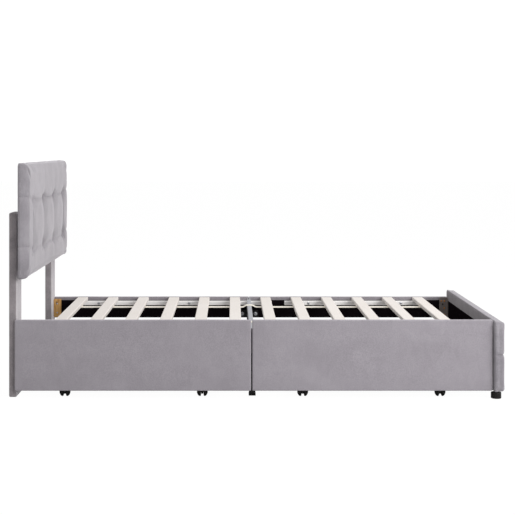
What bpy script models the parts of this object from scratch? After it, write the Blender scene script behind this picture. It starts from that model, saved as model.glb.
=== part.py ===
"""Platform bed with two rolling storage drawers, an upholstered headboard and a padded footboard.

Metres, +Z up. X runs along the bed from the headboard (-X) to the footboard (+X), and the drawers
pull out along -Y. The origin is on the floor under the centre of the whole bed.
"""

import math

import bmesh
import bpy
from mathutils import Matrix, Vector

# Driving dimensions of the whole bed
HALF_LENGTH = 1.041
HEIGHT = 0.985
GAP = 0.0003
FRAME_HALF_WIDTH = 0.518

# Headboard
LEG_THICKNESS = 0.0325
LEG_WIDTH = 0.112
LEG_HEIGHT = 0.775
LEG_EDGE_RADIUS = 0.004
PANEL_HALF_WIDTH = 0.5765
PANEL_BOTTOM = 0.499
PANEL_THICKNESS = 0.045
PANEL_CORNER_RADIUS = 0.025
PANEL_EDGE_RADIUS = 0.009
CLEAT_DEPTH = 0.0132
CLEAT_WIDTH = 0.085
CLEAT_MARGIN = 0.030

# Footboard
FOOTBOARD_THICKNESS = 0.0488
FOOTBOARD_NEAR = -0.555
FOOTBOARD_FAR = 0.520
FOOTBOARD_BOTTOM = 0.0257
FOOTBOARD_TOP = 0.3255
FOOTBOARD_EDGE_RADIUS = 0.010
FOOT_X = 1.003
FOOT_RADIUS = 0.0215
FOOT_INSET = 0.001
FOOT_EDGE_RADIUS = 0.002

# Side rails and the ledgers that carry the slats
RAIL_THICKNESS = 0.025
RAIL_BOTTOM = 0.183
RAIL_TOP = 0.288
RAIL_EDGE_RADIUS = 0.003
RAIL_SPLIT_X = -0.018
LEDGER_DEPTH = 0.022
LEDGER_BOTTOM = 0.2495
LEDGER_TOP = 0.2697
LEDGER_EDGE_RADIUS = 0.001
LEDGER_RUNS = {"head": (-0.886, 0.098), "foot": (0.163, 0.877)}

# Corner pieces that tie the rails to the headboard legs and the footboard
BLOCK_LENGTH = 0.036
BLOCK_DEPTH = 0.022
BLOCK_BOTTOM = 0.190
BLOCK_TOP = 0.279
BLOCK_EDGE_RADIUS = 0.001
BRACKET_LENGTH = 0.040
BRACKET_LEAF = 0.004
BRACKET_RETURN = 0.030
BRACKET_BOTTOM = 0.186
BRACKET_TOP = 0.286

# Slats and the webbing under them
SLAT_COUNT = 12
SLAT_FIRST_X = -0.8625
SLAT_PITCH = 0.15475
SLAT_WIDTH = 0.052
SLAT_BOTTOM = 0.270
SLAT_TOP = 0.288
SLAT_EDGE_RADIUS = 0.0025
STRAP_WIDTH = 0.045
STRAP_THICKNESS = 0.0015
STRAP_Y = 0.267
STRAP_TOP = 0.2697
STRAP_OVER_BEAM = 0.2790
STRAP_RAMP = 0.024
STRAP_OVERHANG = 0.022
STRAP_BEAM_MARGIN = 0.001

# Centre cross beam with its end plates and legs
BEAM_WIDTH = 0.020
BEAM_HEIGHT = 0.040
BEAM_TOP = 0.277
PLATE_LENGTH = 0.096
PLATE_HEIGHT = 0.036
PLATE_BOTTOM = 0.186
PLATE_THICKNESS = 0.0025
HANGER_THICKNESS = 0.004
HANGER_HALF_WIDTH = 0.008
CENTRE_LEG_SIDE = 0.027
CENTRE_LEG_EDGE_RADIUS = 0.0015
HANGER_BOTTOM = 0.200
CENTRE_LEGS = {"near": (-0.4735, HANGER_BOTTOM - GAP), "far": (0.200, BEAM_TOP - BEAM_HEIGHT - GAP)}

# Drawers
DRAWER_FACE_Y = -0.5396
DRAWER_FACE_THICKNESS = 0.021
DRAWER_FACE_BOTTOM = 0.0307
DRAWER_FACE_TOP = 0.3275
DRAWER_FACE_RADIUS = 0.004
DRAWER_FACES = {"head": (-1.0140, -0.0235), "foot": (-0.0185, 0.9885)}
BOX_HALF_WIDTH = 0.355
BOX_DEPTH = 0.600
BOX_BOTTOM = 0.050
BOX_TOP = 0.168
BOX_BOARD = 0.012
BOX_EDGE_RADIUS = 0.0015

# Twin-wheel casters
CASTER_X = 0.290
CASTER_INSET = 0.0363
WHEEL_RADIUS = 0.0185
WHEEL_WIDTH = 0.0165
WHEEL_GAP = 0.0115
# Each wheel's outer dome: (share of its width from the inner face, share of its radius)
WHEEL_DOME = ((0.0, 0.84), (0.10, 0.96), (0.26, 1.0), (0.44, 0.97),
              (0.66, 0.83), (0.86, 0.60), (0.97, 0.36), (1.0, 0.22))
AXLE_RADIUS = 0.0030
TRAIL = 0.012
HOOD_RADIUS = 0.0218
HOOD_WALL = 0.0018
HOOD_HALF_WIDTH = 0.0185
HOOD_HALF_ANGLE = math.radians(62)
HOOD_STEPS = 8
WEB_WIDTH = 0.0090
WEB_HEAD_SHARE = 0.72
WEB_HEAD_TAPER = 0.8
WEB_HEAD_STEPS = 9
WEB_TOE = 0.006
WEB_HEEL = 0.012
WEB_LOW_SHARE = 0.42
BORE_RADIUS = 0.0036
BOSS_RADIUS = 0.0095
BOSS_SINK = 0.86

ROUND_STEPS = 24
CORNER_STEPS = 6


# --- helpers -----------------------------------------------------------------------------------

def clear_scene():
    """Remove every object that the start-up file holds."""
    for old in list(bpy.data.objects):
        bpy.data.objects.remove(old, do_unlink=True)


def principled(name, colour, roughness, metallic=0.0):
    """A Principled material of one colour."""
    made = bpy.data.materials.new(name)
    made.use_nodes = True
    shader = made.node_tree.nodes["Principled BSDF"]
    shader.inputs["Base Color"].default_value = (*colour, 1.0)
    shader.inputs["Roughness"].default_value = roughness
    shader.inputs["Metallic"].default_value = metallic
    made.diffuse_color = (*colour, 1.0)
    return made


def add_object(name, mesh_builder, finish, location=(0.0, 0.0, 0.0), parent=None):
    """Turn a bmesh into a named object with its own copy of a finish."""
    mesh = bpy.data.meshes.new(name)
    bmesh.ops.recalc_face_normals(mesh_builder, faces=mesh_builder.faces)
    mesh_builder.to_mesh(mesh)
    mesh_builder.free()
    made = bpy.data.objects.new(name, mesh)
    bpy.context.scene.collection.objects.link(made)
    own = finish.copy()
    own.name = f"{name}_finish"
    mesh.materials.append(own)
    made.parent = parent
    made.location = location
    return made


def add_empty(name, location, parent=None):
    """An empty that carries a moving group on its joint's axis."""
    made = bpy.data.objects.new(name, None)
    bpy.context.scene.collection.objects.link(made)
    made.parent = parent
    made.location = location
    return made


def round_edges(thing, radius, segments=2):
    """Round every sharp edge with a Bevel modifier."""
    bevel = thing.modifiers.new("rounding", "BEVEL")
    bevel.width = radius
    bevel.segments = segments
    bevel.limit_method = "ANGLE"
    bevel.angle_limit = math.radians(40)


def box_mesh(low, high):
    """A bmesh block between two corners."""
    made = bmesh.new()
    low, high = Vector(low), Vector(high)
    size, centre = high - low, (high + low) / 2
    bmesh.ops.create_cube(made, size=1.0, matrix=Matrix.Translation(centre) @ Matrix.Diagonal((*size, 1.0)))
    return made


def add_box(name, low, high, finish, radius=0.0, segments=2, parent=None, origin=(0.0, 0.0, 0.0)):
    """A block between two corners given in the parent's frame, with its origin where origin says."""
    origin = Vector(origin)
    made = add_object(name, box_mesh(Vector(low) - origin, Vector(high) - origin), finish, origin, parent)
    if radius:
        round_edges(made, radius, segments)
    return made


def prism(outline, along, start, end):
    """Extrude a closed 2-D outline between two places on the axis called along."""
    place = {
        "x": lambda u, v, t: (t, u, v),
        "y": lambda u, v, t: (u, t, v),
        "z": lambda u, v, t: (u, v, t),
    }[along]
    made = bmesh.new()
    first = [made.verts.new(place(u, v, start)) for u, v in outline]
    last = [made.verts.new(place(u, v, end)) for u, v in outline]
    made.faces.new(first)
    made.faces.new(list(reversed(last)))
    for i in range(len(outline)):
        j = (i + 1) % len(outline)
        made.faces.new((first[i], last[i], last[j], first[j]))
    return made


def rounded_rectangle(low, high, radius):
    """Outline of a rectangle between two 2-D corners with rounded corners."""
    (u0, v0), (u1, v1) = low, high
    corners = [(u1 - radius, v1 - radius, 0), (u0 + radius, v1 - radius, 90),
               (u0 + radius, v0 + radius, 180), (u1 - radius, v0 + radius, 270)]
    points = []
    for cu, cv, first in corners:
        for step in range(CORNER_STEPS + 1):
            turn = math.radians(first + 90 * step / CORNER_STEPS)
            points.append((cu + radius * math.cos(turn), cv + radius * math.sin(turn)))
    return points


def turned(profile):
    """Spin a closed (place along X, radius) profile about the X axis."""
    made = bmesh.new()
    rings = []
    for along, radius in profile:
        ring = []
        for step in range(ROUND_STEPS):
            turn = 2 * math.pi * step / ROUND_STEPS
            ring.append(made.verts.new((along, radius * math.cos(turn), radius * math.sin(turn))))
        rings.append(ring)
    for a, b in zip(rings, rings[1:]):
        for i in range(ROUND_STEPS):
            j = (i + 1) % ROUND_STEPS
            made.faces.new((a[i], a[j], b[j], b[i]))
    made.faces.new(list(reversed(rings[0])))
    made.faces.new(rings[-1])
    return made


def cylinder(radius, depth, place):
    """A bmesh cylinder about its own Z axis, put in place by a matrix."""
    made = bmesh.new()
    bmesh.ops.create_cone(made, cap_ends=True, segments=ROUND_STEPS, radius1=radius, radius2=radius,
                          depth=depth, matrix=place)
    return made


def boolean(thing, other_mesh, operation, name):
    """Join a hidden helper to a piece, or cut it away, with the exact solver."""
    helper_mesh = bpy.data.meshes.new(name)
    bmesh.ops.recalc_face_normals(other_mesh, faces=other_mesh.faces)
    other_mesh.to_mesh(helper_mesh)
    other_mesh.free()
    helper = bpy.data.objects.new(name, helper_mesh)
    bpy.context.scene.collection.objects.link(helper)
    helper.parent = thing
    helper.hide_render = True
    helper.display_type = "WIRE"
    step = thing.modifiers.new(name, "BOOLEAN")
    step.operation = operation
    step.solver = "EXACT"
    step.object = helper


def smooth(thing, angle=35):
    """Shade a round piece smooth and keep its real edges sharp."""
    thing.data.shade_smooth()
    thing.data.set_sharp_from_angle(angle=math.radians(angle))


# --- sub-assemblies ----------------------------------------------------------------------------

def side_sign(side):
    """-1 on the drawer side of the bed, +1 on the far side."""
    return -1.0 if side == "near" else 1.0


def build_headboard(velvet):
    """Two wrapped leg boards and the padded panel that bolts to them through two cleats."""
    leg_front = -HALF_LENGTH + LEG_THICKNESS
    for side in ("near", "far"):
        outer = side_sign(side) * FRAME_HALF_WIDTH
        inner = outer - side_sign(side) * LEG_WIDTH
        add_box(f"headboard_leg_{side}", (-HALF_LENGTH, min(outer, inner), 0.0),
                (leg_front, max(outer, inner), LEG_HEIGHT), velvet, LEG_EDGE_RADIUS)
    back = leg_front + GAP + CLEAT_DEPTH
    outline = rounded_rectangle((-PANEL_HALF_WIDTH, PANEL_BOTTOM), (PANEL_HALF_WIDTH, HEIGHT),
                                PANEL_CORNER_RADIUS)
    panel = add_object("headboard_panel", prism(outline, "x", back, back + PANEL_THICKNESS), velvet)
    for side in ("near", "far"):
        middle = side_sign(side) * (FRAME_HALF_WIDTH - LEG_WIDTH / 2)
        cleat = box_mesh((leg_front + GAP, middle - CLEAT_WIDTH / 2, PANEL_BOTTOM + CLEAT_MARGIN),
                         (back + PANEL_THICKNESS / 2, middle + CLEAT_WIDTH / 2, LEG_HEIGHT - CLEAT_MARGIN))
        boolean(panel, cleat, "UNION", f"cleat_{side}")
    round_edges(panel, PANEL_EDGE_RADIUS)


def build_footboard(velvet, black_plastic):
    """The padded footboard on two round feet."""
    inner = HALF_LENGTH - FOOTBOARD_THICKNESS
    add_box("footboard_panel", (inner, FOOTBOARD_NEAR, FOOTBOARD_BOTTOM),
            (HALF_LENGTH, FOOTBOARD_FAR, FOOTBOARD_TOP), velvet, FOOTBOARD_EDGE_RADIUS, 3)
    height = FOOTBOARD_BOTTOM - GAP
    for side, edge in (("near", FOOTBOARD_NEAR), ("far", FOOTBOARD_FAR)):
        y = edge - side_sign(side) * (FOOT_INSET + FOOT_RADIUS)
        place = Matrix.Translation((FOOT_X, y, height / 2))
        foot = add_object(f"footboard_foot_{side}", cylinder(FOOT_RADIUS, height, place), black_plastic)
        round_edges(foot, FOOT_EDGE_RADIUS)
        smooth(foot)


def build_rails(velvet, timber):
    """Two-piece side rails with the ledgers that carry the slat ends."""
    ends = {"head": (-HALF_LENGTH + LEG_THICKNESS + GAP, RAIL_SPLIT_X - GAP / 2),
            "foot": (RAIL_SPLIT_X + GAP / 2, HALF_LENGTH - FOOTBOARD_THICKNESS - GAP)}
    for side in ("near", "far"):
        sign = side_sign(side)
        outer, inner = sign * FRAME_HALF_WIDTH, sign * (FRAME_HALF_WIDTH - RAIL_THICKNESS)
        shelf_back = inner - sign * GAP
        shelf_front = shelf_back - sign * LEDGER_DEPTH
        for half in ("head", "foot"):
            x0, x1 = ends[half]
            add_box(f"{side}_rail_{half}", (x0, min(outer, inner), RAIL_BOTTOM),
                    (x1, max(outer, inner), RAIL_TOP), velvet, RAIL_EDGE_RADIUS)
            x0, x1 = LEDGER_RUNS[half]
            add_box(f"{side}_ledger_{half}", (x0, min(shelf_back, shelf_front), LEDGER_BOTTOM),
                    (x1, max(shelf_back, shelf_front), LEDGER_TOP), timber, LEDGER_EDGE_RADIUS, 1)


def angle_outline(x, y, sign):
    """Plan outline of an L bracket in the corner of the rail and the footboard."""
    run, turn, leaf = BRACKET_LENGTH, BRACKET_RETURN, BRACKET_LEAF
    return [(x, y), (x - run, y), (x - run, y - sign * leaf), (x - leaf, y - sign * leaf),
            (x - leaf, y - sign * turn), (x, y - sign * turn)]


def build_corners(timber, steel):
    """Timber blocks at the head corners and steel angle brackets at the foot corners."""
    head_x = -HALF_LENGTH + LEG_THICKNESS + GAP
    foot_x = HALF_LENGTH - FOOTBOARD_THICKNESS - GAP
    for side in ("near", "far"):
        sign = side_sign(side)
        rail = sign * (FRAME_HALF_WIDTH - RAIL_THICKNESS - GAP)
        front = rail - sign * BLOCK_DEPTH
        add_box(f"corner_block_{side}", (head_x, min(rail, front), BLOCK_BOTTOM),
                (head_x + BLOCK_LENGTH, max(rail, front), BLOCK_TOP), timber, BLOCK_EDGE_RADIUS, 1)
        add_object(f"corner_bracket_{side}",
                   prism(angle_outline(foot_x, rail, sign), "z", BRACKET_BOTTOM, BRACKET_TOP), steel)


def build_beam(steel, black_metal):
    """The centre cross beam, its bolted end plates and its two square legs."""
    rail_face = FRAME_HALF_WIDTH - RAIL_THICKNESS - GAP
    beam_end = rail_face - LEDGER_DEPTH - GAP
    half = BEAM_WIDTH / 2
    beam = add_box("centre_beam", (RAIL_SPLIT_X - half, -beam_end, BEAM_TOP - BEAM_HEIGHT),
                   (RAIL_SPLIT_X + half, beam_end, BEAM_TOP), steel)
    for side in ("near", "far"):
        sign = side_sign(side)
        wall = sorted((sign * rail_face, sign * (rail_face - PLATE_THICKNESS)))
        plate = box_mesh((RAIL_SPLIT_X - PLATE_LENGTH / 2, wall[0], PLATE_BOTTOM),
                         (RAIL_SPLIT_X + PLATE_LENGTH / 2, wall[1], PLATE_BOTTOM + PLATE_HEIGHT))
        boolean(beam, plate, "UNION", f"beam_plate_{side}")
        reach = sorted((sign * (rail_face - PLATE_THICKNESS / 2), sign * (beam_end - HANGER_THICKNESS)))
        hanger = box_mesh((RAIL_SPLIT_X - HANGER_HALF_WIDTH, reach[0], HANGER_BOTTOM),
                          (RAIL_SPLIT_X + HANGER_HALF_WIDTH, reach[1], LEDGER_BOTTOM - GAP))
        boolean(beam, hanger, "UNION", f"beam_hanger_{side}")
    half = CENTRE_LEG_SIDE / 2
    for side, (y, top) in CENTRE_LEGS.items():
        add_box(f"centre_leg_{side}", (RAIL_SPLIT_X - half, y - half, 0.0),
                (RAIL_SPLIT_X + half, y + half, top), black_metal, CENTRE_LEG_EDGE_RADIUS)


def slat_places():
    """Centre of each slat along the bed."""
    return [SLAT_FIRST_X + SLAT_PITCH * i for i in range(SLAT_COUNT)]


def strap_outline():
    """Side outline of the webbing: flat under the slats and lifted over the cross beam."""
    half = BEAM_WIDTH / 2 + STRAP_BEAM_MARGIN
    ends = (slat_places()[0] - STRAP_OVERHANG, slat_places()[-1] + STRAP_OVERHANG)
    top = [(ends[0], STRAP_TOP), (RAIL_SPLIT_X - half - STRAP_RAMP, STRAP_TOP),
           (RAIL_SPLIT_X - half, STRAP_OVER_BEAM), (RAIL_SPLIT_X + half, STRAP_OVER_BEAM),
           (RAIL_SPLIT_X + half + STRAP_RAMP, STRAP_TOP), (ends[1], STRAP_TOP)]
    return top + [(x, z - STRAP_THICKNESS) for x, z in reversed(top)]


def build_slats(slat_wood, webbing):
    """Twelve slats on the ledgers, and the webbing that spaces them."""
    half_run = FRAME_HALF_WIDTH - RAIL_THICKNESS - 2 * GAP
    for number, x in enumerate(slat_places(), 1):
        add_box(f"slat_{number:02d}", (x - SLAT_WIDTH / 2, -half_run, SLAT_BOTTOM),
                (x + SLAT_WIDTH / 2, half_run, SLAT_TOP), slat_wood, SLAT_EDGE_RADIUS, 1)
    half_width = STRAP_WIDTH / 2
    add_object("slat_strap", prism(strap_outline(), "y", STRAP_Y - half_width, STRAP_Y + half_width), webbing)


def shifted(mesh_builder, by):
    """Move a bmesh by a vector and give it back."""
    bmesh.ops.translate(mesh_builder, verts=mesh_builder.verts, vec=by)
    return mesh_builder


def arc(radius, start, end, steps):
    """Points on an arc about the axle, from one angle to another."""
    turns = [start + (end - start) * step / steps for step in range(steps + 1)]
    return [(radius * math.cos(turn), radius * math.sin(turn)) for turn in turns]


def wheel_profile():
    """Half section of two domed wheels and the axle between them: (place along X, radius)."""
    inner = WHEEL_GAP / 2
    dome = [(inner + across * WHEEL_WIDTH, up * WHEEL_RADIUS) for across, up in WHEEL_DOME]
    right = [(inner, AXLE_RADIUS), *dome]
    return [(-x, r) for x, r in reversed(right)] + right


def hood_outline():
    """Side outline, about the axle, of the curved hood over the wheels."""
    start, end = math.pi / 2 - HOOD_HALF_ANGLE, math.pi / 2 + HOOD_HALF_ANGLE
    return arc(HOOD_RADIUS, start, end, HOOD_STEPS) + arc(HOOD_RADIUS - HOOD_WALL, end, start, HOOD_STEPS)


def web_outline():
    """Side outline, about the axle, of the web between the wheels."""
    low = -WHEEL_RADIUS * WEB_LOW_SHARE
    lift = HOOD_RADIUS - HOOD_WALL / 2 - HOOD_RADIUS * WEB_HEAD_SHARE
    crown = arc(HOOD_RADIUS * WEB_HEAD_SHARE, 0.0, math.pi, WEB_HEAD_STEPS)
    head = [(u * WEB_HEAD_TAPER, v + lift) for u, v in crown]
    return [(WEB_TOE, low), (WEB_HEEL, 0.0), *head, (-WEB_HEEL, 0.0), (-WEB_TOE, low)]


def build_caster(name, stem, parent, nylon, rubber):
    """One swivelling twin-wheel caster: a housing on its stem axis and the wheel pair on its axle."""
    swivel = add_empty(f"{name}_swivel", (stem.x, stem.y, 0.0), parent)
    axle = Vector((0.0, -TRAIL, WHEEL_RADIUS))
    hood = shifted(prism(hood_outline(), "x", -HOOD_HALF_WIDTH, HOOD_HALF_WIDTH), axle)
    housing = add_object(f"{name}_housing", hood, nylon, parent=swivel)
    web = shifted(prism(web_outline(), "x", -WEB_WIDTH / 2, WEB_WIDTH / 2), axle)
    boolean(housing, web, "UNION", f"{name}_web")
    boss_low, boss_high = WHEEL_RADIUS + HOOD_RADIUS * BOSS_SINK, BOX_BOTTOM - GAP
    boss = cylinder(BOSS_RADIUS, boss_high - boss_low, Matrix.Translation((0, 0, (boss_low + boss_high) / 2)))
    boolean(housing, boss, "UNION", f"{name}_boss")
    across = Matrix.Translation(axle) @ Matrix.Rotation(math.pi / 2, 4, "Y")
    boolean(housing, cylinder(BORE_RADIUS, WEB_WIDTH * 2, across), "DIFFERENCE", f"{name}_bore")
    wheels = add_object(f"{name}_wheels", turned(wheel_profile()), rubber, axle, swivel)
    smooth(housing)
    smooth(wheels)


def build_drawer(half, velvet, board, nylon, rubber):
    """One drawer: wrapped face, two sides, back, bottom and four casters, on one sliding empty."""
    x0, x1 = DRAWER_FACES[half]
    name = f"drawer_{half}"
    slide = add_empty(f"{name}_slide", ((x0 + x1) / 2, DRAWER_FACE_Y, 0.0))
    half_face = (x1 - x0) / 2
    add_box(f"{name}_face", (-half_face, 0.0, DRAWER_FACE_BOTTOM),
            (half_face, DRAWER_FACE_THICKNESS, DRAWER_FACE_TOP), velvet, DRAWER_FACE_RADIUS, parent=slide)
    front = DRAWER_FACE_THICKNESS + GAP
    back = front + BOX_DEPTH
    w, t = BOX_HALF_WIDTH, BOX_BOARD
    floor_top = BOX_BOTTOM + BOX_BOARD
    boards = {
        "back": ((-w + t + GAP, back - t, BOX_BOTTOM), (w - t - GAP, back, BOX_TOP)),
        "side_left": ((-w, front, BOX_BOTTOM), (-w + t, back, BOX_TOP)),
        "side_right": ((w - t, front, BOX_BOTTOM), (w, back, BOX_TOP)),
        "bottom": ((-w + t + GAP, front, BOX_BOTTOM), (w - t - GAP, back - t - GAP, floor_top)),
    }
    for piece, (low, high) in boards.items():
        add_box(f"{name}_{piece}", low, high, board, BOX_EDGE_RADIUS, 1, slide)
    for end, y in (("front", front + CASTER_INSET), ("rear", back - CASTER_INSET)):
        for hand, x in (("left", -CASTER_X), ("right", CASTER_X)):
            build_caster(f"{name}_caster_{end}_{hand}", Vector((x, y, 0.0)), slide, nylon, rubber)


def build_bed():
    """Every sub-assembly of the bed, each with its finish."""
    velvet = principled("grey_velvet", (0.36, 0.34, 0.36), 0.85)
    timber = principled("pale_timber", (0.62, 0.42, 0.22), 0.6)
    slat_wood = principled("painted_slat_wood", (0.82, 0.79, 0.75), 0.55)
    board = principled("drawer_board", (0.10, 0.09, 0.10), 0.8)
    steel = principled("grey_steel", (0.48, 0.48, 0.50), 0.4, 0.8)
    black_metal = principled("black_steel", (0.02, 0.02, 0.02), 0.45, 0.5)
    black_plastic = principled("black_plastic", (0.02, 0.02, 0.02), 0.5)
    webbing = principled("cream_webbing", (0.80, 0.76, 0.68), 0.9)
    build_headboard(velvet)
    build_footboard(velvet, black_plastic)
    build_rails(velvet, timber)
    build_corners(timber, steel)
    build_beam(steel, black_metal)
    build_slats(slat_wood, webbing)
    for half in DRAWER_FACES:
        build_drawer(half, velvet, board, black_plastic, black_plastic)


clear_scene()
build_bed()
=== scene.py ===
"""Looks of a platform bed with two rolling storage drawers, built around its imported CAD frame.

Metres, +Z up. X runs from the headboard (-X) to the footboard (+X), and the drawers pull out along -Y.
Each sub-assembly is a class that holds its sizes and builds and dresses its own pieces.
"""

import logging
import math
from collections.abc import Callable
from dataclasses import dataclass
from enum import Enum

import bmesh
import bpy
import numpy as np
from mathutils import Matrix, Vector


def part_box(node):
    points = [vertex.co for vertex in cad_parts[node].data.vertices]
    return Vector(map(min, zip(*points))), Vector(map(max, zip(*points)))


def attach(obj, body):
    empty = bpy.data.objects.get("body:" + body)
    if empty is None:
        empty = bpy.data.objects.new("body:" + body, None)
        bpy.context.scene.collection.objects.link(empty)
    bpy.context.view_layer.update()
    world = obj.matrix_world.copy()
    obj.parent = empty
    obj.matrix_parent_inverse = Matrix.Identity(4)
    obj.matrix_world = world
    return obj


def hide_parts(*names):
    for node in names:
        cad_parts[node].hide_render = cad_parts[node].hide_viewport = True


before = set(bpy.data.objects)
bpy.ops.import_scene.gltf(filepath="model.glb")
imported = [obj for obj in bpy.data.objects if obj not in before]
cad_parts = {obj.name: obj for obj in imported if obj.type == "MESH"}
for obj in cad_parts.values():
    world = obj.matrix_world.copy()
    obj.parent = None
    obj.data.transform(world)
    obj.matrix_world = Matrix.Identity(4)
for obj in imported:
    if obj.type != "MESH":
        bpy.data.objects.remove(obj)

Triple = tuple[float, float, float]
Shape = tuple[np.ndarray, list[tuple[int, ...]]]
Profile = tuple[tuple[float, float], ...]
Piece = bpy.types.Object
Material = bpy.types.Material
Socket = bpy.types.NodeSocket

LOG = logging.getLogger("bed")
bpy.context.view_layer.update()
HALF_TURN = math.pi
LATHE_STEPS = 32
SMALL_LATHE_STEPS = 24
WHITE = (1.0, 1.0, 1.0)
CRISP = 35.0
CLEARANCE = 0.0003
LINING_GAP = 0.00005
LINING_THICKNESS = 0.00018
LINING_GRID = 0.03

# Turned profiles, from one end to the other: radius, then height. A bolt's are shares of its radius and its
# height. A button's and a hub's are shares of the radius, with the height in metres. The hole's are metres.
BOLT_PROFILE: Profile = ((0.0, 0.0), (1.25, 0.0), (1.25, 0.16), (1.0, 0.2), (0.98, 0.5), (0.8, 0.85),
                         (0.5, 1.0), (0.36, 1.0), (0.33, 0.5), (0.0, 0.45))
BUTTON_PROFILE: Profile = ((0.0, 0.0), (0.86, 0.0), (1.0, 0.0012), (1.0, 0.0024), (0.88, 0.0042),
                           (0.62, 0.0055), (0.3, 0.0061), (0.0, 0.0062))
HUB_PROFILE: Profile = ((0.0, -0.0012), (0.9, -0.0012), (1.0, -0.0004), (0.96, 0.0002), (0.7, 0.0006),
                        (0.4, 0.0006), (0.3, 0.0002), (0.0, 0.0002))
HOLE_PROFILE: Profile = ((0.0, 0.0), (0.0042, 0.0), (0.0042, 0.0004), (0.0030, 0.0005), (0.0, 0.0005))


class Slot(Enum):
    """The record's material slot names."""

    VELVET = "velvet"
    LINING = "drawer_lining"
    WEBBING = "webbing"
    STEEL = "grey_steel"
    PLASTIC = "black_plastic"
    WHEEL = "wheel_black"


class Side(Enum):
    """A long side of the bed, with the sign of its place along Y."""

    NEAR = -1.0
    FAR = 1.0

    @property
    def word(self) -> str:
        """The side's name as the CAD nodes spell it."""
        return self.name.lower()

    @property
    def inward(self) -> Triple:
        """The direction from this side to the middle of the bed."""
        return 0.0, -self.value, 0.0

    def inner(self, low: Vector, high: Vector) -> float:
        """The y of a box's face that looks to the middle of the bed."""
        return low.y if self is Side.FAR else high.y


# --- colour and shader helpers -------------------------------------------------------------------


def shade(red: int, green: int, blue: int) -> Triple:
    """Turn an 8-bit screen colour into linear light.

    Args:
        red: Red, 0 to 255.
        green: Green, 0 to 255.
        blue: Blue, 0 to 255.

    Returns:
        The three linear values.
    """
    def linear(value: int) -> float:
        """One channel in linear light."""
        share = value / 255
        return share / 12.92 if share <= 0.04045 else ((share + 0.055) / 1.055) ** 2.4

    return linear(red), linear(green), linear(blue)


def scaled(colour: Triple, share: float) -> Triple:
    """The colour, made darker or lighter."""
    return tuple(share * value for value in colour)


class NodeGraph:
    """A node tree of a material or the world, and the ways to fill it."""

    def __init__(self, owner: Material | bpy.types.World) -> None:
        """Give the owner a node tree."""
        owner.use_nodes = True
        self.tree = owner.node_tree

    def join(self, source: object, target: object) -> None:
        """Link an output to an input, or set the input when source is a plain value."""
        if isinstance(source, Socket):
            self.tree.links.new(source, target)
        elif isinstance(source, tuple) and len(source) == 3 and target.type == "RGBA":
            target.default_value = (*source, 1.0)
        else:
            target.default_value = source

    def node(self, kind: str, inputs: dict[str | int, object], **settings: object) -> bpy.types.Node:
        """Add one node.

        Args:
            kind: Its type, without the ShaderNode that every type starts with.
            inputs: The output or value for each input, by the input's name or number.
            **settings: The node's own settings.

        Returns:
            The node.
        """
        made = self.tree.nodes.new(f"ShaderNode{kind}")
        for name, value in settings.items():
            setattr(made, name, value)
        for key, value in inputs.items():
            self.join(value, made.inputs[key])
        return made

    def split_view(self, plain: Socket, seen: Socket, share: float, end: str) -> None:
        """Show one shader to the eye and light the scene with another.

        Args:
            plain: The shader that light bounces off or comes from.
            seen: The shader that is looked at.
            share: How much of what is looked at is the second one.
            end: The name of the tree's output node.
        """
        looked_at = self.node("LightPath", {}).outputs["Is Camera Ray"]
        if share < 1.0:
            looked_at = self.node("Math", {0: looked_at, 1: share}, operation="MULTIPLY").outputs[0]
        either = self.node("MixShader", {0: looked_at, 1: plain, 2: seen})
        self.join(either.outputs[0], self.tree.nodes[end].inputs["Surface"])


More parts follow.
